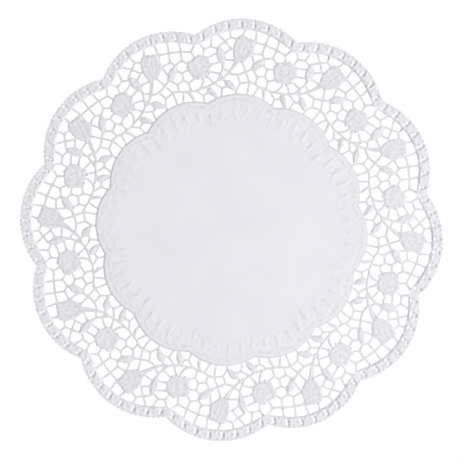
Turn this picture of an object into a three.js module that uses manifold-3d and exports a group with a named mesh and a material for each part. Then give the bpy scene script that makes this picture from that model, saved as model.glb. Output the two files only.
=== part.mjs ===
// A paper doily: one round sheet of white paper, cut and pressed in one stroke of a die.
// Millimetres, +Z up. The sheet lies flat, its underside at z = 0 and its centre at the origin.
// Its border is one repeat of net and flowers, twelve times round, under the twelve scallops of its edge.
import * as THREE from 'three';
import { mergeVertices } from 'three/addons/utils/BufferGeometryUtils.js';
import Module from 'manifold-3d';

const wasm = await Module();
wasm.setup();

// Driving dimensions
const repeats = 12;
const tipRadius = 150; // from the centre to the tip of a scallop
const scallopRadius = 53.2;
const scallopSteps = 8; // straight steps round one scallop
const edgeBand = 7.95; // the closed band between the net and the scalloped edge
const plainTip = 96.7; // the plain centre is scalloped too, in step with the edge
const plainScallopRadius = 37.5;
const sheet = 1.0; // thickness of the sheet between its raised flowers
const bar = 1.3; // width of the net's bars
const stem = 2.0; // width of the flowers' stems

// A repeat is drawn upright, its scallop's tip on +Y: across is to the right and out is from the centre
const repeatAngle = 2 * Math.PI / repeats;

function turned(point, steps) {
  return point.clone().rotateAround(new THREE.Vector2(), -steps * repeatAngle);
}

function onScallop(tip, radius, across) {
  return new THREE.Vector2(across, tip - radius + Math.sqrt(radius ** 2 - across ** 2));
}

// Where the net's bars meet, half a bar inside the band and half a bar inside the plain centre's rim
const netOuter = (across) => onScallop(tipRadius - edgeBand + bar / 2, scallopRadius - edgeBand + bar / 2, across);
const netInner = (across) => onScallop(plainTip - bar / 2, plainScallopRadius - bar / 2, across);

// Joint, across: the bars' feet on the band
const bandFeet = [
  ['edge1', -24.8],
  ['edge2', -20.9],
  ['edge3', -12.2],
  ['edge4', -1.0],
  ['edge5', 6.9],
  ['edge6', 16.2],
  ['edge7', 23.6],
];

// Joint, across: the bars' feet on the plain centre
const centreFeet = [
  ['centre1', -14.7],
  ['centre2', -4.4],
  ['centre3', 3.5],
  ['centre4', 7.4],
  ['centre5', 15.6],
  ['centre6', 21.4],
];

// Joint, across, out: where bars meet each other, a stem, a leaf, the bud or the rose
const netJoints = [
  ['edge0', -33.4, 130.1],
  ['edge8', 33.2, 130.0],
  ['netA', -15.0, 132.7],
  ['netB', -11.2, 136.1],
  ['netC', -10.2, 127.8],
  ['netD', -24.6, 128.3],
  ['netE', -29.5, 126.0],
  ['netH', 6.6, 133.7],
  ['netI', 13.7, 132.2],
  ['netJ', 21.9, 129.2],
  ['netK', 11.8, 125.6],
  ['netL', 19.8, 123.4],
  ['netM', 28.3, 126.1],
  ['netO', 17.4, 106.8],
  ['netQ', -2.0, 103.9],
  ['netR', 9.7, 109.3],
  ['netS', 15.1, 110.1],
  ['netT', 16.2, 115.3],
  ['netW', -14.4, 99.6],
  ['netX', -27.2, 93.3],
  ['vineA', 4.3, 105.4],
  ['vineB', 8.8, 104.1],
  ['vineC', 11.4, 102.5],
  ['vineD', 16.5, 101.0],
  ['vineE', 19.6, 99.7],
  ['vineF', 23.4, 99.3],
  ['vineJ', -15.0, 113.6],
  ['vineK', -16.3, 109.5],
  ['stemQ', -4.4, 109.9],
  ['stemR', 28.4, 107.2],
  ['stemS', 27.3, 103.5],
  ['stemV', -10.5, 110.2],
  ['stemY', 1.2, 112.1],
  ['roseTop', 28.7, 121.0],
  ['roseRight', 35.0, 119.2],
  ['roseL', 22.8, 118.9],
  ['roseK', 21.9, 115.3],
  ['roseI', 22.2, 107.9],
  ['roseBump', 25.0, 107.4],
  ['roseN', -29.8, 120.7],
  ['roseE', -26.4, 120.2],
  ['roseF', -24.2, 115.3],
  ['roseG', -24.6, 110.7],
  ['budTip', -2.7, 137.7],
  ['budTipLeft', -5.0, 136.0],
  ['budShoulder', -7.0, 134.8],
  ['budLeft', -8.0, 127.8],
  ['budBase', -6.2, 119.9],
  ['budFoot', -1.6, 119.4],
  ['budLow', 1.4, 122.0],
  ['budRight', 4.8, 125.2],
  ['budUpper', 5.2, 130.2],
  ['budCrown', 3.4, 135.1],
  ['budMid', 0.2, 136.0],
  ['leaf1tip', -19.2, 129.0],
  ['leaf1up', -19.3, 126.8],
  ['leaf1left', -19.4, 124.4],
  ['leaf1right', -14.8, 124.2],
  ['leaf1low', -14.4, 119.8],
  ['leaf1foot', -16.4, 118.3],
  ['leaf2tip', 14.2, 122.3],
  ['leaf2left', 6.4, 118.2],
  ['leaf2foot', 4.9, 114.0],
  ['leaf2low', 13.4, 118.1],
  ['leaf2heel', 6.9, 113.3],
  ['leaf3low', -11.6, 100.8],
  ['leaf3foot', -4.4, 99.3],
  ['leaf5top', 14.2, 101.3],
];

const joints = new Map();
for (const [joint, across] of bandFeet) joints.set(joint, netOuter(across));
for (const [joint, across] of centreFeet) joints.set(joint, netInner(across));
for (const [joint, across, out] of netJoints) joints.set(joint, new THREE.Vector2(across, out));

// The gaps between the bars, each with the joints round it. A joint with + is the next repeat's, clockwise.
// These are the 25 largest of the 42 in a repeat. The others are left closed here.
const gaps = [
  'edge1 edge2 netA leaf1tip leaf1up netD',
  'edge3 edge4 budTip budTipLeft budShoulder netB',
  'edge4 edge5 netH budCrown budMid budTip',
  'edge5 edge6 netI netH',
  'edge6 edge7 netJ netI',
  'edge7 edge8 netM netJ',
  'edge8 edge0+ netE+ roseRight roseTop netM',
  'netC budLeft budBase leaf1low leaf1right',
  'netE netD leaf1up leaf1left roseE roseN',
  'roseF leaf1foot vineJ vineK roseG',
  'netO roseI roseBump stemR stemS vineF vineE vineD',
  'netH netI netK budRight budUpper',
  'netI netJ netL leaf2tip netK',
  'netJ netM roseTop roseL netL',
  'netL roseL roseK netT leaf2low leaf2tip',
  'budFoot budLow budRight leaf2left leaf2foot stemY',
  'leaf2low netT netS netR leaf2heel',
  'netT roseK roseI netO netS',
  'budFoot stemY stemQ stemV',
  'stemY leaf2foot leaf2heel netR vineB vineA',
  'netR netS netO vineD vineC vineB',
  'netQ vineA centre3 centre2 leaf3foot',
  'vineA vineB vineC centre4 centre3',
  'netW leaf3low leaf3foot centre2 centre1',
  'leaf5top vineE netX+ centre6 centre5',
];

function jointAt(name) {
  return name.endsWith('+') ? turned(joints.get(name.slice(0, -1)), 1) : joints.get(name).clone();
}

// The joints that each stem runs through: the winding vine, the rose's, the bud's and the second leaf's
const stemRuns = [
  'vineA vineB vineC vineD vineE vineF',
  'leaf5top vineE',
  'vineK vineJ leaf1foot',
  'stemR stemS vineF',
  'budFoot stemV stemQ stemY leaf2foot',
];
const stemSides = new Set();
for (const run of stemRuns) {
  const names = run.split(' ');
  for (let i = 1; i < names.length; i += 1) stemSides.add(`${names[i - 1]} ${names[i]}`);
}

function halfWidth(from, to) {
  return (stemSides.has(`${from} ${to}`) || stemSides.has(`${to} ${from}`) ? stem : bar) / 2;
}

// A ring of joints drawn in on every side by half of what runs there, a bar or a stem
function gapCorners(gap) {
  const names = gap.split(' ');
  if (THREE.ShapeUtils.isClockWise(names.map(jointAt))) names.reverse();
  const sides = names.map((name, i) => {
    const next = names[(i + 1) % names.length];
    const along = jointAt(next).sub(jointAt(name)).normalize();
    const inward = new THREE.Vector2(-along.y, along.x);
    return { start: jointAt(name).addScaledVector(inward, halfWidth(name, next)), along, inward };
  });
  return sides.map((side, i) => {
    const before = sides.at(i - 1);
    const reach = side.start.clone().sub(before.start).dot(side.inward) / before.along.dot(side.inward);
    return before.start.clone().addScaledVector(before.along, reach);
  });
}

function solidOf(geometry) {
  const plain = geometry.index ? geometry.toNonIndexed() : geometry;
  plain.deleteAttribute('normal');
  plain.deleteAttribute('uv');
  const merged = mergeVertices(plain, 1e-4);
  return new wasm.Manifold(new wasm.Mesh({
    numProp: 3,
    vertProperties: new Float32Array(merged.attributes.position.array),
    triVerts: new Uint32Array(merged.index.array),
  }));
}

// The sheet: twelve scallops round, and the net's gaps cut through
function flatSheet() {
  const edge = new THREE.Shape();
  const scallopCentre = tipRadius - scallopRadius;
  const halfArc = repeatAngle / 2 + Math.asin(scallopCentre * Math.sin(repeatAngle / 2) / scallopRadius);
  for (let k = 0; k < repeats; k += 1) {
    const middle = k * repeatAngle;
    const x = scallopCentre * Math.cos(middle);
    const y = scallopCentre * Math.sin(middle);
    edge.absarc(x, y, scallopRadius, middle - halfArc, middle + halfArc, false);
  }
  for (const names of gaps) {
    const corners = gapCorners(names);
    for (let k = 0; k < repeats; k += 1) {
      edge.holes.push(new THREE.Path(corners.map((corner) => turned(corner, k))));
    }
  }
  return solidOf(new THREE.ExtrudeGeometry(edge, { depth: sheet, bevelEnabled: false, curveSegments: scallopSteps }));
}

// What the die raises above the sheet. Each form is a round one pressed oval, sunk a little into the sheet.
// A profile is a list of radius and height above the sheet, outermost first.
const sink = 0.5;

function pressedForm(profile, sides, { across, out, length, width, turn }) {
  const points = [...profile].reverse().map(([radius, height]) => new THREE.Vector2(radius, height));
  points.push(new THREE.Vector2(profile[0][0], -sink), new THREE.Vector2(0, -sink));
  const geometry = new THREE.LatheGeometry(points.reverse(), sides);
  geometry.rotateX(Math.PI / 2).scale(length / 2, width / 2, 1);
  return geometry.rotateZ(THREE.MathUtils.degToRad(turn)).translate(across, out, sheet);
}

// Across, out, length, width and turn of each leaf that is wide enough to be raised
const leaves = [
  { across: -17.2, out: 123.0, length: 10.5, width: 3.6, turn: 108 },
  { across: 9.6, out: 118.1, length: 10, width: 3.6, turn: 42 },
  { across: -8.9, out: 102.7, length: 9.5, width: 3.4, turn: -37 },
  { across: -20.9, out: 96.1, length: 7.5, width: 3.4, turn: -32 },
];
const leafProfile = [[1, 0], [0, 0.5]];
const leafSides = 6;

const rose = { across: 29.1, out: 113.9, length: 13.6, width: 13.6, turn: 0 };
const roseProfile = [[1, 0], [0.8, 0.4], [0.5, 0.15], [0.3, 0.6], [0, 0.6]];
const roseSides = 10;

const bud = { across: -1.4, out: 127.6, length: 15, width: 11.4, turn: 86 };
const budProfile = [[1, 0], [0.6, 0.4], [0, 0.55]];
const budSides = 8;

const raisedForms = [
  ...leaves.map((leaf) => pressedForm(leafProfile, leafSides, leaf)),
  pressedForm(roseProfile, roseSides, rose),
  pressedForm(budProfile, budSides, bud),
];

let doily = flatSheet();
for (const form of raisedForms) {
  for (let k = 0; k < repeats; k += 1) doily = doily.add(solidOf(form.clone().rotateZ(k * repeatAngle)));
}

const { vertProperties, triVerts } = doily.getMesh();
const doilyGeometry = new THREE.BufferGeometry();
doilyGeometry.setAttribute('position', new THREE.BufferAttribute(vertProperties, 3));
doilyGeometry.setIndex(new THREE.BufferAttribute(triVerts, 1));
doilyGeometry.computeVertexNormals();

const paper = new THREE.MeshStandardMaterial({ color: 0xe9e9ee, roughness: 0.85, metalness: 0 });
const doilyMesh = new THREE.Mesh(doilyGeometry, paper);
doilyMesh.name = 'doily';

const part = new THREE.Group();
part.add(doilyMesh);

export default part;
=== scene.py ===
# A round paper doily with a border of net and flowers, lying flat on a pale surface.
import math

import bmesh
import bpy
import numpy as np
from mathutils import Matrix, Vector, noise
from mathutils.geometry import delaunay_2d_cdt


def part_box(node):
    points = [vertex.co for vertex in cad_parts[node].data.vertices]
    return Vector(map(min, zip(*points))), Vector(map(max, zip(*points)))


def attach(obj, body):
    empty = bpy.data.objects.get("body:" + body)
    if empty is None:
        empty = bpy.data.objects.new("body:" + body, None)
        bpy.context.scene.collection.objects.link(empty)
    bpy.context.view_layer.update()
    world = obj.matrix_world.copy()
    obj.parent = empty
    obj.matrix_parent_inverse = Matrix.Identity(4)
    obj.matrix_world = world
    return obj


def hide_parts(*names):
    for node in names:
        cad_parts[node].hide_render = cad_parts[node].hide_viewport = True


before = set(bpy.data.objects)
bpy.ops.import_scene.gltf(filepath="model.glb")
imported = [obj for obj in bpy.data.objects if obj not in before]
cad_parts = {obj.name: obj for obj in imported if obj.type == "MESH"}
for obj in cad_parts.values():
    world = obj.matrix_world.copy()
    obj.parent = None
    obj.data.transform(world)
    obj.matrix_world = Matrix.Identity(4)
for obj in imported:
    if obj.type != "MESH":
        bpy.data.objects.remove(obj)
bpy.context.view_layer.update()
MM = 0.001

# Camera: straight above the doily, rolled until the scallops point as in the photograph, with
# the doily's centre as far beside the middle of the frame as there.
view_width = 325.95 * MM
view_roll = math.radians(4.45)
doily_off_centre = Vector((1.18 * MM, 0.12 * MM, 0))
camera_data = bpy.data.cameras.new("camera")
camera_data.lens = 100
camera_data.sensor_width = 36
camera = bpy.data.objects.new("camera", camera_data)
camera.rotation_euler = (0, 0, view_roll)
camera.location = Matrix.Rotation(view_roll, 3, "Z") @ -doily_off_centre
camera.location.z = view_width * camera_data.lens / camera_data.sensor_width
bpy.context.scene.collection.objects.link(camera)
bpy.context.scene.camera = camera

# The doily: one sheet of white paper, cut to its edge and its net by a die and pressed in the
# same stroke between two engraved plates, so that each raised line is the paper itself standing
# up. Its sizes are in millimetres.
repeats = 12
repeat_angle = math.tau / repeats
paper_thickness = 0.28
tip_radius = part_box("doily")[1].x / MM
scallop_radius = 53.2
band_width = 7.95
plain_tip = 96.7
plain_scallop_radius = 37.5
bar_width = 1.4
stem_width = 1.6

# One repeat is drawn upright, its scallop's tip on +Y, as points of across, to the right, and
# out, from the doily's centre. The others are the same, turned clockwise.


def turned(point, steps):
    """The same point of another repeat, so many steps further round."""
    return Matrix.Rotation(-steps * repeat_angle, 2) @ Vector(point)


def on_arc(tip, radius, across):
    """The point so far across on a scallop's arc."""
    return Vector((across, tip - radius + math.sqrt(radius**2 - across**2)))


def scallop_reach(tip, radius, angle, depth):
    """How far out, at an angle from the repeat's axis, the line so deep inside a scallop's arc is."""
    centre = tip - radius
    return centre * np.cos(angle) + np.sqrt((radius - depth) ** 2 - (centre * np.sin(angle)) ** 2)


def scallop_point(tip, radius, angle, depth):
    reach = scallop_reach(tip, radius, angle, depth)
    return Vector((reach * math.sin(angle), reach * math.cos(angle)))


def edge_point(angle, depth):
    return scallop_point(tip_radius, scallop_radius, angle, depth)


def plain_point(angle, depth):
    return scallop_point(plain_tip, plain_scallop_radius, angle, depth)


# The bars' joints. First the bars' feet on the edge band and on the plain centre, each by how far
# across it stands, then the joints between bars and where bars meet a stem, leaf, bud or rose.
band_feet = {
    "edge1": -24.8, "edge2": -20.9, "edge3": -12.2, "edge4": -1.0, "edge5": 6.9, "edge6": 16.2,
    "edge7": 23.6,
}
centre_feet = {
    "centre0": -17.1, "centre1": -14.7, "centre2": -4.4, "centre3": 3.5, "centre4": 7.4, "centre5": 15.6,
    "centre6": 21.4,
}
joints = {
    "edge0": (-33.4, 130.1), "edge8": (33.2, 130.0), "notch": (-23.8, 88.0),
    "netA": (-15.0, 132.7), "netB": (-11.2, 136.1), "netC": (-10.2, 127.8), "netD": (-24.6, 128.3),
    "netE": (-29.5, 126.0), "netH": (6.6, 133.7), "netI": (13.7, 132.2), "netJ": (21.9, 129.2),
    "netK": (11.8, 125.6), "netL": (19.8, 123.4), "netM": (28.3, 126.1), "netO": (17.4, 106.8),
    "netQ": (-2.0, 103.9), "netR": (9.7, 109.3), "netS": (15.1, 110.1), "netT": (16.2, 115.3),
    "netW": (-14.4, 99.6), "netX": (-27.2, 93.3),
    "vineA": (4.3, 105.4), "vineB": (8.8, 104.1), "vineC": (11.4, 102.5), "vineD": (16.5, 101.0),
    "vineE": (19.6, 99.7), "vineF": (23.4, 99.3), "vineG": (28.8, 98.8), "vineM": (-20.6, 102.2),
    "vineN": (-23.0, 100.6), "vineL": (-17.9, 104.8), "vineK": (-16.3, 109.5), "vineJ": (-15.0, 113.6),
    "stemU": (-14.7, 106.1), "stemZ": (-10.3, 111.6), "stemV": (-10.5, 110.2), "stemQ": (-4.4, 109.9),
    "stemY": (1.2, 112.1), "stemR": (28.4, 107.2), "stemS": (27.3, 103.5),
    "roseTop": (28.7, 121.0), "roseRight": (35.0, 119.2), "roseL": (22.8, 118.9), "roseK": (21.9, 115.3),
    "roseI": (22.2, 107.9), "roseBump": (25.0, 107.4), "roseN": (-29.8, 120.7), "roseE": (-26.4, 120.2),
    "roseF": (-24.2, 115.3), "roseG": (-24.6, 110.7), "roseH": (-25.6, 107.0),
    "budTip": (-2.7, 137.7), "budTipLeft": (-5.0, 136.0), "budShoulder": (-7.0, 134.8),
    "budLeft": (-8.0, 127.8), "budBase": (-6.2, 119.9), "budFoot": (-1.6, 119.4), "budLow": (1.4, 122.0),
    "budStem": (-4.2, 119.4), "budRight": (4.8, 125.2), "budUpper": (5.2, 130.2),
    "budCrown": (3.4, 135.1), "budMid": (0.2, 136.0),
    "leaf1tip": (-19.2, 129.0), "leaf1up": (-19.3, 126.8), "leaf1left": (-19.4, 124.4),
    "leaf1right": (-14.8, 124.2), "leaf1low": (-14.4, 119.8), "leaf1foot": (-16.4, 118.3),
    "leaf2tip": (14.2, 122.3), "leaf2up": (9.4, 119.4), "leaf2left": (6.4, 118.2),
    "leaf2foot": (4.9, 114.0), "leaf2low": (13.4, 118.1), "leaf2heel": (6.9, 113.3),
    "leaf3tip": (-13.0, 104.9), "leaf3mid": (-9.0, 102.6), "leaf3low": (-11.6, 100.8),
    "leaf3foot": (-4.4, 99.3),
    "leaf4tip": (-24.8, 97.6), "leaf4top": (-22.9, 98.6), "leaf4low": (-24.2, 95.5),
    "leaf4mid": (-20.6, 97.0), "leaf5top": (14.2, 101.3),
}
half_bar = bar_width / 2


def band_foot(across):
    return on_arc(tip_radius - band_width + half_bar, scallop_radius - band_width + half_bar, across)


def centre_foot(across):
    return on_arc(plain_tip - half_bar, plain_scallop_radius - half_bar, across)


joints.update((name, band_foot(across)) for name, across in band_feet.items())
joints.update((name, centre_foot(across)) for name, across in centre_feet.items())

# The gaps of the net, each by the joints round it. A joint with + is the next repeat's, with -
# the one's before.
gap_rings = [
    "edge0 edge1 netD netE",
    "edge1 edge2 netA leaf1tip leaf1up netD",
    "edge2 edge3 netB netA",
    "edge3 edge4 budTip budTipLeft budShoulder netB",
    "edge4 edge5 netH budCrown budMid budTip",
    "edge5 edge6 netI netH",
    "edge6 edge7 netJ netI",
    "edge7 edge8 netM netJ",
    "edge8 edge0+ netE+ roseRight roseTop netM",
    "netB budShoulder budLeft netC netA",
    "netA netC leaf1right leaf1tip",
    "netC budLeft budBase leaf1low leaf1right",
    "netE netD leaf1up leaf1left roseE roseN",
    "roseE leaf1left leaf1foot roseF",
    "roseF leaf1foot vineJ vineK roseG",
    "roseG vineK vineL vineM roseH",
    "stemR roseH+ vineM+ vineG vineF stemS",
    "netO roseI roseBump stemR stemS vineF vineE vineD",
    "netH netI netK budRight budUpper",
    "netI netJ netL leaf2tip netK",
    "netJ netM roseTop roseL netL",
    "budRight netK leaf2tip leaf2up leaf2left",
    "netL roseL roseK netT leaf2low leaf2tip",
    "budFoot budLow budRight leaf2left leaf2foot stemY",
    "leaf2low netT netS netR leaf2heel",
    "netT roseK roseI netO netS",
    "leaf1low budBase stemZ vineJ",
    "vineJ stemZ stemU vineK",
    "budFoot stemY stemQ stemV budStem",
    "stemY leaf2foot leaf2heel netR vineB vineA",
    "stemQ stemY vineA netQ",
    "stemU stemV stemQ netQ leaf3foot leaf3mid",
    "netR netS netO vineD vineC vineB",
    "vineM vineL stemU leaf3tip leaf3low netW",
    "netQ vineA centre3 centre2 leaf3foot",
    "vineA vineB vineC centre4 centre3",
    "vineC leaf5top centre5 centre4",
    "netW leaf3low leaf3foot centre2 centre1",
    "vineN vineM netW centre1 centre0 leaf4mid leaf4top",
    "vineE vineG leaf4tip+ leaf4low+ netX+",
    "netX leaf4low centre0 notch centre6-",
    "leaf5top vineE netX+ centre6 centre5",
]


def joint(name):
    steps = {"+": 1, "-": -1}.get(name[-1], 0)
    return turned(joints[name.rstrip("+-")], steps)


def ring_points(ring):
    """The joints round a gap, with two more between two feet, so that the gap follows their scallop."""
    names = ring.split()
    corners = []
    for name, after in zip(names, names[1:] + names[:1]):
        corners.append(joint(name))
        for feet, foot in ((band_feet, band_foot), (centre_feet, centre_foot)):
            if name in feet and after in feet:
                step = (feet[after] - feet[name]) / 3
                corners += [foot(feet[name] + step), foot(feet[name] + 2 * step)]
    return corners


def runs_clockwise(loop):
    return sum(start.cross(end) for start, end in zip(loop, loop[1:] + loop[:1])) < 0


def inset(ring, width):
    """A closed ring drawn in by a width on every side."""
    if runs_clockwise(ring):
        ring = ring[::-1]
    sides = []
    for start, end in zip(ring, ring[1:] + ring[:1]):
        along = (end - start).normalized()
        inward = Vector((-along.y, along.x))
        sides.append((start + inward * width, along, inward))
    corners = []
    for (before, before_along, _), (start, _, inward) in zip(sides[-1:] + sides[:-1], sides):
        reach = (start - before).dot(inward) / before_along.dot(inward)
        corners.append(before + before_along * reach)
    return corners


corner_bend = 0.9
most_of_side = 0.45
sharp_turn = math.radians(25)


def rounded(corners):
    """The closed loop through the corners, the sharp ones eased by a short bend."""
    loop = []
    for before, corner, after in zip(corners[-1:] + corners[:-1], corners, corners[1:] + corners[:1]):
        if (corner - before).angle(after - corner) < sharp_turn:
            loop.append(corner)
            continue
        sides = [end - corner for end in (before, after)]
        arms = [side * min(corner_bend / side.length, most_of_side) for side in sides]
        loop += [corner + arms[0], corner + (arms[0] + arms[1]) / 4, corner + arms[1]]
    return loop


def resampled(line, spacing, closed):
    """The same line, with more points added where its own are further apart than the spacing."""
    points = []
    ends = line[1:] + line[:1] if closed else line[1:]
    for start, end in zip(line, ends):
        count = max(1, round((end - start).length / spacing))
        points += [start.lerp(end, step / count) for step in range(count)]
    return points if closed else points + [line[-1]]


def curved(line, closed=False, steps=3):
    """A smooth line through all the points of a line."""
    line = [Vector(point) for point in line]
    before = line[-1:] + line[:-1] if closed else line[:1] + line[:-1]
    ends = line[1:] + line[:1]
    after = ends[1:] + ends[:1] if closed else line[2:] + line[-1:] * 2
    spans = list(zip(before, line, ends, after))
    smooth = []
    for previous, start, end, following in spans if closed else spans[:-1]:
        leave, arrive = (end - previous) / 2, (following - start) / 2
        for share in (step / steps for step in range(steps)):
            rise = share * share * (3 - 2 * share)
            bend = leave * share * (1 - share) ** 2 - arrive * share**2 * (1 - share)
            smooth.append(start.lerp(end, rise) + bend)
    return smooth if closed else smooth + line[-1:]


def ribbon(line, width):
    """The outline of a band of the given width along a line."""
    left, right = [], []
    for before, point, after in zip(line[:1] + line, line, line[1:] + line[-1:]):
        way = (after - before).normalized()
        aside = Vector((-way.y, way.x)) * width / 2
        left.append(point + aside)
        right.append(point - aside)
    return left + right[::-1]


# The leaves, the rose and the bud, each by points round its edge
leaves = [
    ((-20.0, 129.2), (-18.3, 128.2), (-16.6, 126.6), (-15.4, 124.4), (-14.6, 121.8), (-14.2, 119.4),
     (-14.8, 117.6), (-16.6, 117.4), (-18.4, 118.6), (-19.8, 120.8), (-20.5, 123.4), (-20.6, 126.2)),
    ((14.6, 122.3), (12.6, 122.0), (10.2, 121.4), (8.2, 120.3), (6.6, 118.7), (5.6, 116.8), (5.2, 114.6),
     (7.3, 114.3), (9.6, 114.9), (11.5, 116.2), (13.0, 118.0), (13.9, 120.0)),
    ((-13.1, 105.0), (-11.6, 105.7), (-9.8, 105.6), (-8.0, 104.8), (-6.5, 103.2), (-5.2, 101.0),
     (-4.0, 98.4), (-5.8, 98.3), (-7.8, 98.9), (-9.8, 99.8), (-11.3, 100.9), (-12.2, 102.8)),
    ((-25.2, 98.2), (-23.6, 99.1), (-21.9, 99.1), (-20.2, 98.2), (-18.8, 96.6), (-17.7, 94.6),
     (-16.9, 92.9), (-18.8, 93.4), (-20.8, 94.2), (-22.6, 95.2), (-24.2, 96.4)),
    ((13.3, 102.0), (13.7, 100.0), (14.1, 97.6), (14.8, 95.4), (15.8, 93.6), (16.7, 95.4), (16.8, 97.2),
     (16.2, 99.0), (15.4, 100.6), (14.9, 101.8)),
]
leaves = [curved(leaf, closed=True) for leaf in leaves]
rose = curved((
    (21.0, 117.3), (21.9, 119.0), (23.6, 120.2), (25.6, 120.8), (28.3, 121.4), (31.0, 121.6), (33.4, 121.2),
    (35.0, 119.8), (36.7, 118.6), (37.5, 116.6), (37.6, 113.8), (37.2, 111.3), (35.8, 109.0), (34.2, 107.2),
    (31.6, 106.2), (29.0, 105.8), (26.4, 107.0), (24.2, 107.9), (22.2, 109.4), (21.2, 111.6), (20.8, 114.4),
), closed=True)
rose_middle = Vector((29.1, 113.7))
bud = curved((
    (-5.2, 137.0), (-6.6, 135.4), (-7.9, 133.0), (-8.7, 130.4), (-9.0, 127.8), (-8.7, 125.0), (-8.1, 122.4),
    (-7.0, 120.4), (-5.4, 119.4), (-3.2, 119.0), (-1.0, 119.6), (0.8, 121.1), (2.8, 122.2), (4.4, 123.6),
    (5.2, 125.6), (5.7, 128.2), (5.6, 131.0), (6.1, 133.0), (6.4, 134.6), (4.6, 135.6), (2.6, 135.9),
    (0.8, 136.6), (-0.9, 136.8), (-2.8, 138.0),
), closed=True)
bud_middle = Vector((-1.4, 127.8))
motifs = leaves + [rose, bud]

# The small round knobs on the edges of the rose and the bud, with their radii
knobs = [
    ((32.0, 121.3), 0.9), ((21.2, 117.4), 0.8), ((37.3, 117.4), 0.8), ((37.3, 111.2), 0.9),
    ((33.7, 106.9), 0.9), ((30.8, 105.0), 0.9), ((24.9, 106.7), 1.0), ((24.0, 120.2), 0.9),
    ((-5.0, 136.5), 0.9), ((-2.7, 137.9), 0.8), ((0.1, 136.1), 1.0), ((3.1, 135.0), 1.1),
    ((-7.0, 120.1), 0.9), ((-1.5, 118.9), 0.9), ((1.2, 122.2), 0.8),
]
knobs = [(Vector(point), radius) for point, radius in knobs]

# The stems' middle lines: the vine that winds on into the next repeat, the rose's, the bud's and
# the leaves'
stems = [
    ((3.9, 105.3), (5.6, 105.3), (8.7, 104.1), (11.4, 102.5), (14.2, 101.4), (16.5, 100.9), (19.5, 99.7),
     (23.0, 99.4), (29.0, 98.8), (33.3, 98.8)),
    ((-20.6, 102.2), (-17.9, 104.8), (-16.3, 109.4), (-15.0, 113.6), (-15.1, 117.8)),
    ((28.4, 107.5), (28.0, 104.8), (26.6, 102.4), (25.0, 100.8), (22.6, 99.6)),
    ((-4.3, 119.6), (-6.8, 115.3), (-10.2, 111.6), (-12.8, 108.3), (-14.7, 105.9), (-17.0, 104.9)),
    ((-10.6, 110.6), (-8.0, 109.8), (-4.4, 109.9), (-1.2, 110.8), (1.3, 112.1), (4.9, 113.9)),
    ((-14.7, 106.1), (-12.6, 104.6)),
    ((-23.0, 100.8), (-23.2, 98.4)),
]
stems = [curved(stem, steps=2) for stem in stems]

# The edge band: eight units to a scallop, each with three small picots, two eyelets in line with
# the doily's centre, at the bottom of one trough, and a raised dot on either side of the trough.
# A bead runs along the band's inner edge, with a knob between one unit and the next. A depth is
# how far a thing lies inside the scalloped edge, and a rise how far out from its unit's middle.
units = 8
unit_angle = repeat_angle / units
unit_depth = 4.05
unit_angles = [unit_angle * (unit - (units - 1) / 2) for unit in range(units)]
picots = 3
picot_angle = unit_angle / picots
picot_depth = 0.5
picot_spot_depth = 1.3
eyelet_rise = 1.35
eyelets = [(eyelet_rise, 0.45), (-eyelet_rise, 0.55)]
trough_half_width = 1.5
dot_aside = 1.8
dot_radius = 0.9
bead_middle = 6.9
bead_sway = 0.2
bead_half_width = 0.7
knob_depth = 6.35
knob_radius = 1.05


def picot_edge(angle):
    return edge_point(angle, picot_depth * (1 - abs(math.sin(math.pi * angle / picot_angle)) ** 0.7))


def bead_depth(angle):
    """The bead is wavy, and dips towards the net under the middle of each unit."""
    return bead_middle - bead_sway * np.cos(math.tau * angle / unit_angle)


def circle(centre, radius, count):
    spoke = Vector((radius, 0))
    return [centre + Matrix.Rotation(math.tau * step / count, 2) @ spoke for step in range(count)]


# The sheet is first laid out flat: loops and lines that its mesh follows, then points sown
# between them, and the triangles between all of these, without those in a gap or an eyelet.
# The loops come in this order: the edge, the gaps and eyelets, and the outlines of the relief.
points = []
lines = []
loops = []
cells = {}


def is_free(point, room):
    """Whether no point has been laid nearer than the room asked for, a millimetre at most."""
    column, row = math.floor(point.x), math.floor(point.y)
    for beside in (-1, 0, 1):
        for above in (-1, 0, 1):
            for other in cells.get((column + beside, row + above), ()):
                if (other - point).length < room:
                    return False
    return True


def lay(point):
    cells.setdefault((math.floor(point.x), math.floor(point.y)), []).append(point)
    points.append(point)
    return len(points) - 1


def lay_loop(loop):
    """A closed loop, laid anticlockwise, which is what the triangulation takes for a face."""
    loops.append([lay(point) for point in (loop[::-1] if runs_clockwise(loop) else loop)])


def lay_line(line, spacing):
    laid = [lay(point) for point in resampled(line, spacing, closed=False)]
    lines.extend(zip(laid, laid[1:]))


def sow(seeds, room):
    for seed in seeds:
        for step in range(repeats):
            point = turned(seed, step)
            if is_free(point, room):
                lay(point)


picot_steps = 5
edge_steps = units * picots * picot_steps
edge_angles = [repeat_angle * (step / edge_steps - 0.5) for step in range(edge_steps)]
lay_loop([turned(picot_edge(angle), step) for step in range(repeats) for angle in edge_angles])

bar_spacing = 2.2
for ring in gap_rings:
    gap = resampled(rounded(inset(ring_points(ring), half_bar)), bar_spacing, closed=True)
    for step in range(repeats):
        lay_loop([turned(point, step) for point in gap])

round_steps = 8
for angle in unit_angles:
    outward = Vector((math.sin(angle), math.cos(angle)))
    for rise, radius in eyelets:
        eyelet = edge_point(angle, unit_depth) + outward * rise
        for step in range(repeats):
            lay_loop(circle(turned(eyelet, step), radius, round_steps))
last_cut = len(loops) - 1

motif_spacing = 0.9
for outline in motifs:
    for step in range(repeats):
        lay_loop([turned(point, step) for point in resampled(outline, motif_spacing, closed=True)])
for centre, radius in knobs:
    for step in range(repeats):
        lay_loop(circle(turned(centre, step), radius, round_steps))
for stem in stems:
    for step in range(repeats):
        lay_loop([turned(point, step) for point in ribbon(stem, stem_width)])
        lay_line([turned(point, step) for point in stem], bar_spacing)


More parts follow.
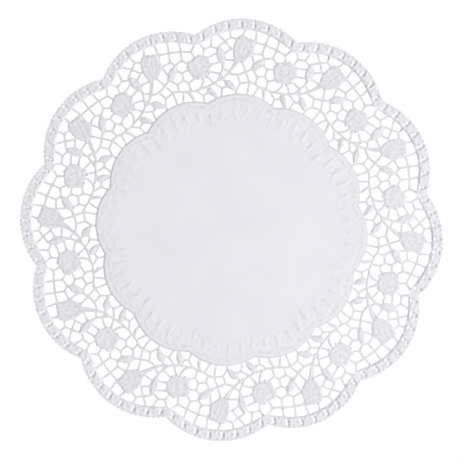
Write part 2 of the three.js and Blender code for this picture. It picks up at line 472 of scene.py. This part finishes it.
def rings_inside(outline, middle, spacing):
    """Points in rings inside an outline, like its own shape drawn smaller and smaller."""
    reach = sum((point - middle).length for point in outline) / len(outline)
    count = round(reach / spacing)
    rings = []
    for step in range(1, count):
        scale = 1 - step / count
        ring = [middle + (point - middle) * scale for point in outline[::2]]
        rings += resampled(ring, spacing, closed=True)
    return rings + [middle]


for leaf in leaves:
    middle = sum(leaf, Vector((0, 0))) / len(leaf)
    sow(rings_inside(leaf, middle, spacing=0.6), room=0.5)
sow(rings_inside(rose, rose_middle, spacing=0.9), room=0.62)
sow(rings_inside(bud, bud_middle, spacing=0.9), room=0.62)

# The band's troughs, dots, knobs and bead, then rows along it, the first through the picots
trough_rises = [eyelet_rise * share for share in (-1, -1 / 3, 1 / 3, 1)]
for angle in unit_angles:
    middle = edge_point(angle, unit_depth)
    outward = Vector((math.sin(angle), math.cos(angle)))
    aside = Vector((outward.y, -outward.x))
    for reach in (0.9, trough_half_width):
        for side in (-1, 1):
            wall = middle + aside * side * reach
            sow([wall + outward * rise for rise in trough_rises], room=0.35)
            bend = circle(Vector((0, 0)), reach, 12)[1:6]
            ends = [(aside * spoke.x + outward * (eyelet_rise + spoke.y)) * side for spoke in bend]
            sow([middle + end for end in ends], room=0.35)
    for side in (-1, 1):
        sow(circle(middle + aside * side * (dot_aside + 0.5), dot_radius, 6), room=0.45)
    knob = edge_point(angle + unit_angle / 2, knob_depth)
    sow([knob] + circle(knob, 0.5, 5) + circle(knob, knob_radius, 8), room=0.35)
band_steps = 72
band_angles = [repeat_angle * ((step + 0.5) / band_steps - 0.5) for step in range(band_steps)]
for shift in (0, -bead_half_width, bead_half_width):
    sow([edge_point(angle, bead_depth(angle) + shift) for angle in band_angles], room=0.5)
for depth in (1.2, 0.6, 1.9, 2.7, 3.6, 4.5, 5.4):
    sow([edge_point(angle, depth) for angle in band_angles], room=0.62)

# The plain centre: rows along its rim, points under the ring of dashes, a grid between and round
# them, where the paper is ruffled, and a wider grid over the rest
rim_steps = 28
rim_angles = [repeat_angle * (step / rim_steps - 0.5) for step in range(rim_steps)]
for depth in (0.5, 1.0, 1.6, 2.3, 3.1, 3.9, 4.7, 5.6):
    sow([plain_point(angle, depth) for angle in rim_angles], room=0.5)

# Each dash by its degrees to either side of the repeat's axis, and by how far out its round head,
# the top of its body and its tail are
dashes = [(3, 88.7, 86.4, 80.0), (9, 86.9, 84.6, 78.2), (15, 82.7, 80.4, 74.0)]
dash_half_width = 1.5
for degrees, head, top, tail in dashes:
    for side in (-1, 1):
        for row in (-1.9, -1.3, -0.65, 0, 0.65, 1.3, 1.9):
            seeds = [Vector((row, out)) for out in np.arange(tail - 1.5, head + 2.2, 1.35)]
            sow([Matrix.Rotation(-side * math.radians(degrees), 2) @ seed for seed in seeds], room=0.55)

# Each grid by its spacing and how far out it starts and ends
for grid_spacing, nearest, furthest in ((2.0, 76, 90), (3.0, 0, 92)):
    reach = round(furthest / grid_spacing * 1.2)
    for row in range(-reach, reach + 1):
        for column in range(-reach, reach + 1):
            point = Vector((column + 0.5 * (row % 2), row * math.sqrt(0.75))) * grid_spacing
            if nearest <= point.length < furthest and is_free(point, room=0.9):
                lay(point)

# Each triangle comes with the loops that it lies in. It is paper inside the edge and outside the
# gaps and eyelets, and where an outline of the relief reaches into a gap and fills it.
cover_hull = 0
same_point = 1e-4
flat_points, _, triangles, _, _, sources = delaunay_2d_cdt(
    points, lines, loops, cover_hull, same_point, True
)
is_paper = [0 in source and (len(source) == 1 or max(source) > last_cut) for source in sources]
triangles = [triangle for triangle, kept in zip(triangles, is_paper) if kept]

# How high the press lifts the paper, and how much painted shade each point gets in place of the
# shading of its raised lines. Each point is looked up in the drawing of one repeat and of the two beside
# it.
plan = np.array([tuple(point) for point in flat_points])
bearing = np.arctan2(plan[:, 0], plan[:, 1])
radii = np.hypot(plan[:, 0], plan[:, 1])
angles = bearing - np.round(bearing / repeat_angle) * repeat_angle
across = radii * np.sin(angles)
out = radii * np.cos(angles)


def ridge(distance, half_width):
    """A rounded rise that is 1 where the distance is 0, and 0 from the half width on."""
    return np.clip(1 - (distance / half_width) ** 2, 0, None)


def slope(distance, low, high):
    """A smooth rise from 0 to 1 between two distances, or a fall where low is the larger."""
    share = np.clip((distance - low) / (high - low), 0, 1)
    return share * share * (3 - 2 * share)


def distance_to(start, end):
    """How far each point of the sheet is from a straight stroke of the drawing."""
    way = end - start
    along = ((across - start.x) * way.x + (out - start.y) * way.y) / way.length_squared
    along = np.clip(along, 0, 1)
    return np.hypot(across - start.x - along * way.x, out - start.y - along * way.y)


def distance_to_line(line):
    return np.minimum.reduce([distance_to(start, end) for start, end in zip(line, line[1:])])


def depth_inside(outline):
    """How deep each point of the sheet is inside an outline, or less than zero outside it."""
    inside = np.zeros(len(plan), dtype=bool)
    nearest = np.full(len(plan), np.inf)
    for start, end in zip(outline, outline[1:] + outline[:1]):
        nearest = np.minimum(nearest, distance_to(start, end))
        if start.y != end.y:
            level = (start.y > out) != (end.y > out)
            meets = start.x + (out - start.y) * (end.x - start.x) / (end.y - start.y)
            inside ^= level & (across < meets)
    return np.where(inside, nearest, -nearest)


def depth_in_scallops(tip, radius):
    """How deep each point of the sheet is inside the scallops' arcs, their radius at most."""
    centre = tip - radius
    depth = radius - np.hypot(across, out - centre)
    depth[out < centre] = radius
    return depth


def patches(fineness, layer):
    """A value from about -0.5 to 0.5 at each point of the sheet, in patches of 1 / fineness."""
    return np.array([noise.noise(Vector((x, y, layer)) * fineness) for x, y in plan])


# How unevenly the press works, in small, middling and large patches
mottle = patches(0.55, 0)
dents = patches(0.33, 9)
swell = patches(0.07, 40)

# The bars of the net lie low and flat and are painted in shade, here more and there less in random
# blotches, and most at the upper left. The stems stand up a little and have less painted shade.
rounding = 0.01
lift = np.zeros(len(plan))
stem_height = 0.25
# Painted shade, strongest towards the upper left and weakest towards the lower right
shade_towards_upper_left = 1 - 0.2 * (0.6 * plan[:, 0] - 0.8 * plan[:, 1]) / tip_radius
painted_shade = 0.25 * shade_towards_upper_left + 0.5 * mottle
for stem in stems:
    for step in (-1, 0, 1):
        distance = distance_to_line([turned(point, step) for point in stem])
        on_stem = distance < stem_width / 2 + rounding
        lift = np.maximum(lift, stem_height * ridge(distance, stem_width / 2))
        painted_shade = np.where(on_stem, 0.2 * shade_towards_upper_left + 0.25 * mottle, painted_shade)

# The leaves, roses and buds stand up from an edge painted in shade and sag a little in the middle.
# Streaks are pressed into them and painted in shade, on a leaf one on either side of its middle vein.
motif_height = 0.42
motif_sag = 0.1
vein_half_width = 1.1


def raise_motif(outline, streak):
    """A motif's lift and painted shade, from its depth and from streaks between 0 and 1."""
    depth = depth_inside(outline)
    height = motif_height * slope(depth, 0, 1.1) - motif_sag * slope(depth, 1.6, 2.8)
    height += (0.14 * dents + 0.14 * mottle - 0.17 * streak) * slope(depth, 0.4, 1.6)
    # The edge and the streaks are painted in shade, over random blotches
    edge = (0.18 * shade_towards_upper_left + 0.3 * mottle) * slope(depth, 1.35, 0.55)
    inner = (0.05 + 0.15 * streak + 0.25 * mottle) * slope(depth, 0.4, 1.2)
    inside = depth > -rounding
    lift[:] = np.where(inside, np.maximum(lift, height), lift)
    painted_shade[:] = np.where(inside, edge + inner, painted_shade)


for leaf in leaves:
    for step in (-1, 0, 1):
        outline = [turned(point, step) for point in leaf]
        way = (outline[len(outline) // 2] - outline[0]).normalized()
        aside = (across - outline[0].x) * way.y - (out - outline[0].y) * way.x
        raise_motif(outline, 0.9 * ridge(np.abs(aside) - vein_half_width, 0.55))

# The rose's streaks are the edges of its petals, round a curled middle
rose_petals = [
    ((23.4, 118.2), (22.8, 114.6), (24.2, 110.6), (26.8, 108.4)),
    ((24.6, 117.6), (27.0, 119.2), (30.0, 118.9), (32.8, 118.0)),
    ((35.2, 118.2), (35.4, 114.6), (34.4, 111.2), (32.2, 108.8)),
    ((27.2, 110.8), (29.8, 109.4), (32.6, 109.8), (34.2, 111.6)),
    ((25.2, 116.2), (24.8, 113.6), (26.2, 111.4)),
    ((29.0, 112.6), (31.0, 113.2), (31.4, 115.2), (29.6, 116.6)),
]
streak = np.zeros(len(plan))
for step in (-1, 0, 1):
    for petal in rose_petals:
        line = [turned(point, step) for point in curved(petal)]
        streak = np.maximum(streak, 0.8 * ridge(distance_to_line(line), 0.9))
for step in (-1, 0, 1):
    raise_motif([turned(point, step) for point in rose], streak)

# The bud's run from its foot to its crown, leaning to the right. It lies well inside its repeat, so
# the two beside it aren't looked up.
bud_petals = [
    ((-4.2, 120.4), (-6.2, 124.0), (-6.6, 128.0), (-5.6, 132.0), (-4.2, 135.6)),
    ((-3.4, 120.6), (-4.6, 124.6), (-4.4, 129.0), (-3.2, 133.0), (-2.0, 136.4)),
    ((-2.4, 120.8), (-2.4, 125.0), (-1.4, 129.0), (-0.2, 132.0), (0.8, 134.8)),
    ((-1.4, 121.4), (0.2, 125.2), (1.8, 128.6), (2.8, 132.0), (3.0, 134.2)),
    ((-0.4, 122.0), (2.2, 124.8), (3.8, 128.0), (4.2, 131.6)),
]
streak = np.zeros(len(plan))
for petal in bud_petals:
    streak = np.maximum(streak, ridge(distance_to_line(curved(petal)), 0.75))
raise_motif(bud, streak)

# The small knobs stand up on the edges of the rose and the bud, and are painted in shade
small_knob_height = 0.4
for centre, radius in knobs:
    for step in (-1, 0, 1):
        point = turned(centre, step)
        distance = np.hypot(across - point.x, out - point.y)
        lift = np.maximum(lift, small_knob_height * ridge(distance, radius + 0.2))
        painted_shade = np.maximum(painted_shade, 0.34 * ridge(distance, radius + 0.3) ** 0.5)

# The edge band stands up as a whole, less along the net, and dips into a trough at each unit, with
# a low bridge between its two eyelets. Painted shade darkens the dots, the knobs, the bead, a spot in
# each picot, a short bar at the outer end of each trough, and both edges of the band, over random blotches.
band_height = 0.54
dot_height = 0.28
knob_height = 0.18
picot_height = 0.06
trough_roughness = 0.42
edge_depth = depth_in_scallops(tip_radius, scallop_radius)
in_band = edge_depth < band_width + rounding


def from_spots(spacing, depth, shift):
    """How far out and aside each point is from the nearest of a row of spots along the band. The
    two middle spots stand beside the repeat's axis, and a shift of 0.5 puts one on it instead."""
    turn = angles - (np.floor(angles / spacing + shift) + 0.5 - shift) * spacing
    reach = scallop_reach(tip_radius, scallop_radius, angles - turn, depth)
    return radii * np.cos(turn) - reach, radii * np.sin(turn)


unit_out, unit_aside = from_spots(unit_angle, unit_depth, 0)
knob_out, knob_aside = from_spots(unit_angle, knob_depth, 0.5)
picot_out, picot_aside = from_spots(picot_angle, picot_spot_depth, 0)
trough = np.hypot(unit_aside, np.maximum(np.abs(unit_out) - eyelet_rise, 0))
bridge = 0.55 * ridge(unit_out, 0.8) * slope(np.abs(unit_aside), trough_half_width, 0.5)
knob = np.hypot(knob_out, knob_aside)
dot = np.hypot(np.abs(unit_aside) - dot_aside, unit_out)
band_lift = band_height + 0.08 * slope(edge_depth, 0, 0.6)
band_lift *= 0.35 + 0.65 * slope(edge_depth, 8.1, 6.5)
band_lift *= np.maximum(slope(trough, 0.35, trough_half_width), bridge)
band_lift += (
    dot_height * ridge(dot, 1.1) + knob_height * ridge(knob, 1.3)
    + trough_roughness * mottle * slope(trough, 0.8, 1.6)
)
band_lift += picot_height * ridge(np.hypot(picot_out / 0.7, picot_aside / 1.1), 1)
band_painted_shade = 0.03 + 0.2 * mottle
for mark in (
    0.22 * ridge(np.hypot(picot_out / 0.8, picot_aside / 1.25), 1) ** 0.7,
    0.26 * ridge(np.hypot((unit_out - 2.5) / 0.9, unit_aside / 2.2), 1) ** 0.7,
    0.17 * ridge(edge_depth - bead_depth(angles), bead_half_width) ** 0.7,
    0.17 * ridge(knob, knob_radius) ** 0.6,
    0.52 * ridge(dot, dot_radius) ** 0.7,
    0.2 * slope(edge_depth, 0.7, 0.0),
    0.24 * slope(edge_depth, band_width - 0.7, band_width),
):
    band_painted_shade = np.maximum(band_painted_shade, mark)
lift = np.where(in_band, np.maximum(band_lift, 0), lift)
painted_shade = np.where(in_band, band_painted_shade, painted_shade)

# The plain centre stands up from a rim painted in shade, darkest at the right. A faint broken line of
# painted shade follows the rim inside it, and the paper is ruffled from the rim in to the tails of the
# dashes, with painted shade in patches there.
plain_height = 0.36
broken_line_depth = 3.9
ruffle_start = 72
ruffle_full = 80
ruffle_height = 0.25
plain_depth = depth_in_scallops(plain_tip, plain_scallop_radius)
in_plain = plain_depth > -rounding
plain_lift = plain_height * slope(plain_depth, 0, 1.0)
rim_painted_shade = 0.4 + 0.15 * np.maximum(plan[:, 0], 0) / plain_tip
plain_painted_shade = rim_painted_shade * slope(plain_depth, 1.3, 0.6)
plain_painted_shade += 0.1 * ridge(plain_depth - broken_line_depth, 1.2) * (1 + 3 * mottle)
ruffled = slope(plain_depth, 0.8, 2.0) * slope(radii, ruffle_start, ruffle_full)
plain_lift += ruffle_height * mottle * ruffled
plain_painted_shade += 0.06 * np.maximum(mottle, 0) * ruffled

# The press has marked the dashes least at the top, the bottom and both sides, and most between
dash_height = 0.16
dash_head_height = 0.09
dash_head_radius = 1.4
firmness = 1 - 0.45 * np.cos(4 * bearing) + 0.6 * swell
for degrees, head, top, tail in dashes:
    for side in (-1, 1):
        turn = angles - side * math.radians(degrees)
        aside, far = radii * np.sin(turn), radii * np.cos(turn)
        body = np.maximum(np.maximum(tail - far, far - top), 0)
        dash = ridge(np.hypot(aside, body), dash_half_width) * slope(far, tail - 1, tail + 3)
        spot = ridge(np.hypot(aside, far - head), dash_head_radius)
        plain_lift += (dash_height * dash + dash_head_height * spot) * firmness
        # The dashes are painted in shade too
        plain_painted_shade += 0.09 * np.maximum(dash, spot) * firmness
lift = np.where(in_plain, plain_lift, lift)
painted_shade = np.where(in_plain, plain_painted_shade, painted_shade)

# The sheet as a closed mesh, the underside the same form as the top. All of it lies a little wavy.
wave_height = 0.2
wave_length = 55
doily_mesh = bpy.data.meshes.new("doily_paper")
sheet = bmesh.new()
# A layer for the painted shade at each corner of the sheet
painted_shade_layer = sheet.verts.layers.float.new("painted_shade_layer")
corners = {}
for index in sorted({index for triangle in triangles for index in triangle}):
    x, y = plan[index]
    wave = wave_height * (0.5 + 0.5 * noise.noise(Vector((x, y, 0)) / wave_length))
    corners[index] = sheet.verts.new((x * MM, y * MM, (paper_thickness + wave + lift[index]) * MM))
    corners[index][painted_shade_layer] = painted_shade[index]
for triangle in triangles:
    sheet.faces.new([corners[index] for index in triangle])
underside = bmesh.ops.extrude_face_region(sheet, geom=sheet.faces[:])["geom"]
lower = [part for part in underside if isinstance(part, bmesh.types.BMVert)]
bmesh.ops.translate(sheet, vec=(0, 0, -paper_thickness * MM), verts=lower)
bmesh.ops.recalc_face_normals(sheet, faces=sheet.faces[:])
crease = math.radians(50)
for face in sheet.faces:
    face.smooth = True
for edge in sheet.edges:
    edge.smooth = edge.calc_face_angle(0) < crease
sheet.to_mesh(doily_mesh)
sheet.free()
doily = bpy.data.objects.new("doily_paper", doily_mesh)
bpy.context.scene.collection.objects.link(doily)

# White paper with a faint blue cast, mixed towards a darker grey as painted shade where the sheet
# carries it, with fine fibres and soft clouds where the pulp lies thicker
thin_pulp = (0.735, 0.727, 0.768, 1)
thick_pulp = (0.806, 0.798, 0.839, 1)
painted_shade_colour = (0.425, 0.42, 0.432, 1)
paper = bpy.data.materials.new("paper")
paper.use_nodes = True
nodes = paper.node_tree.nodes
links = paper.node_tree.links
shader = nodes["Principled BSDF"]
shader.inputs["Roughness"].default_value = 0.85
shader.inputs["Specular IOR Level"].default_value = 0.25
place = nodes.new("ShaderNodeTexCoord")
clouds = nodes.new("ShaderNodeTexNoise")
clouds.inputs["Scale"].default_value = 30
clouds.inputs["Detail"].default_value = 5
fibres = nodes.new("ShaderNodeTexNoise")
fibres.inputs["Scale"].default_value = 2600
fibres.inputs["Detail"].default_value = 4
shade_attribute = nodes.new("ShaderNodeAttribute")
shade_attribute.attribute_name = "painted_shade_layer"


def mixed(first, second):
    """A mix of two colours or links, with its factor still to be given."""
    mix = nodes.new("ShaderNodeMix")
    mix.data_type = "RGBA"
    for name, colour in (("A", first), ("B", second)):
        if isinstance(colour, tuple):
            mix.inputs[name].default_value = colour
        else:
            links.new(colour, mix.inputs[name])
    return mix


white = mixed(thin_pulp, thick_pulp)
tone = mixed(white.outputs["Result"], painted_shade_colour)
bump = nodes.new("ShaderNodeBump")
bump.inputs["Strength"].default_value = 0.35
bump.inputs["Distance"].default_value = 0.03 * MM
links.new(place.outputs["Object"], clouds.inputs["Vector"])
links.new(place.outputs["Object"], fibres.inputs["Vector"])
links.new(clouds.outputs["Fac"], white.inputs["Factor"])
links.new(shade_attribute.outputs["Fac"], tone.inputs["Factor"])
links.new(tone.outputs["Result"], shader.inputs["Base Color"])
links.new(fibres.outputs["Fac"], bump.inputs["Height"])
links.new(bump.outputs["Normal"], shader.inputs["Normal"])
doily_mesh.materials.append(paper)

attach(doily, "root")
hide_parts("doily")

# Floor and light: a plain surface that glows, so that it is white right up to the doily, soft
# light from all round and a broad low lamp from the right, which shades the left side of whatever
# the press has raised.
floor_mesh = bpy.data.meshes.new("floor")
ground = bmesh.new()
bmesh.ops.create_grid(ground, x_segments=1, y_segments=1, size=3)
bmesh.ops.translate(ground, vec=(0, 0, -0.02 * MM), verts=ground.verts)
ground.to_mesh(floor_mesh)
ground.free()
floor = bpy.data.objects.new("floor", floor_mesh)
bpy.context.scene.collection.objects.link(floor)
floor_material = bpy.data.materials.new("floor")
floor_material.use_nodes = True
floor_shader = floor_material.node_tree.nodes["Principled BSDF"]
floor_shader.inputs["Base Color"].default_value = (0.15, 0.15, 0.15, 1)
floor_shader.inputs["Emission Color"].default_value = (1, 1, 1, 1)
floor_shader.inputs["Emission Strength"].default_value = 0.87
floor_shader.inputs["Roughness"].default_value = 0.9
floor_shader.inputs["Specular IOR Level"].default_value = 0
floor_mesh.materials.append(floor_material)

lamp_data = bpy.data.lights.new("lamp", "POINT")
lamp_data.energy = 545
lamp_data.shadow_soft_size = 0.4
lamp = bpy.data.objects.new("lamp", lamp_data)
lamp_height = math.radians(38)
lamp_round = math.radians(-8.5)
lamp_distance = 3.8
level = lamp_distance * math.cos(lamp_height)
lamp.location = (
    level * math.cos(lamp_round), level * math.sin(lamp_round), lamp_distance * math.sin(lamp_height)
)
lamp.visible_camera = False
bpy.context.scene.collection.objects.link(lamp)
world = bpy.data.worlds.new("studio")
world.use_nodes = True
world.node_tree.nodes["Background"].inputs["Color"].default_value = (1, 1, 1, 1)
world.node_tree.nodes["Background"].inputs["Strength"].default_value = 0.47
bpy.context.scene.world = world
bpy.context.scene.view_settings.view_transform = "Standard"
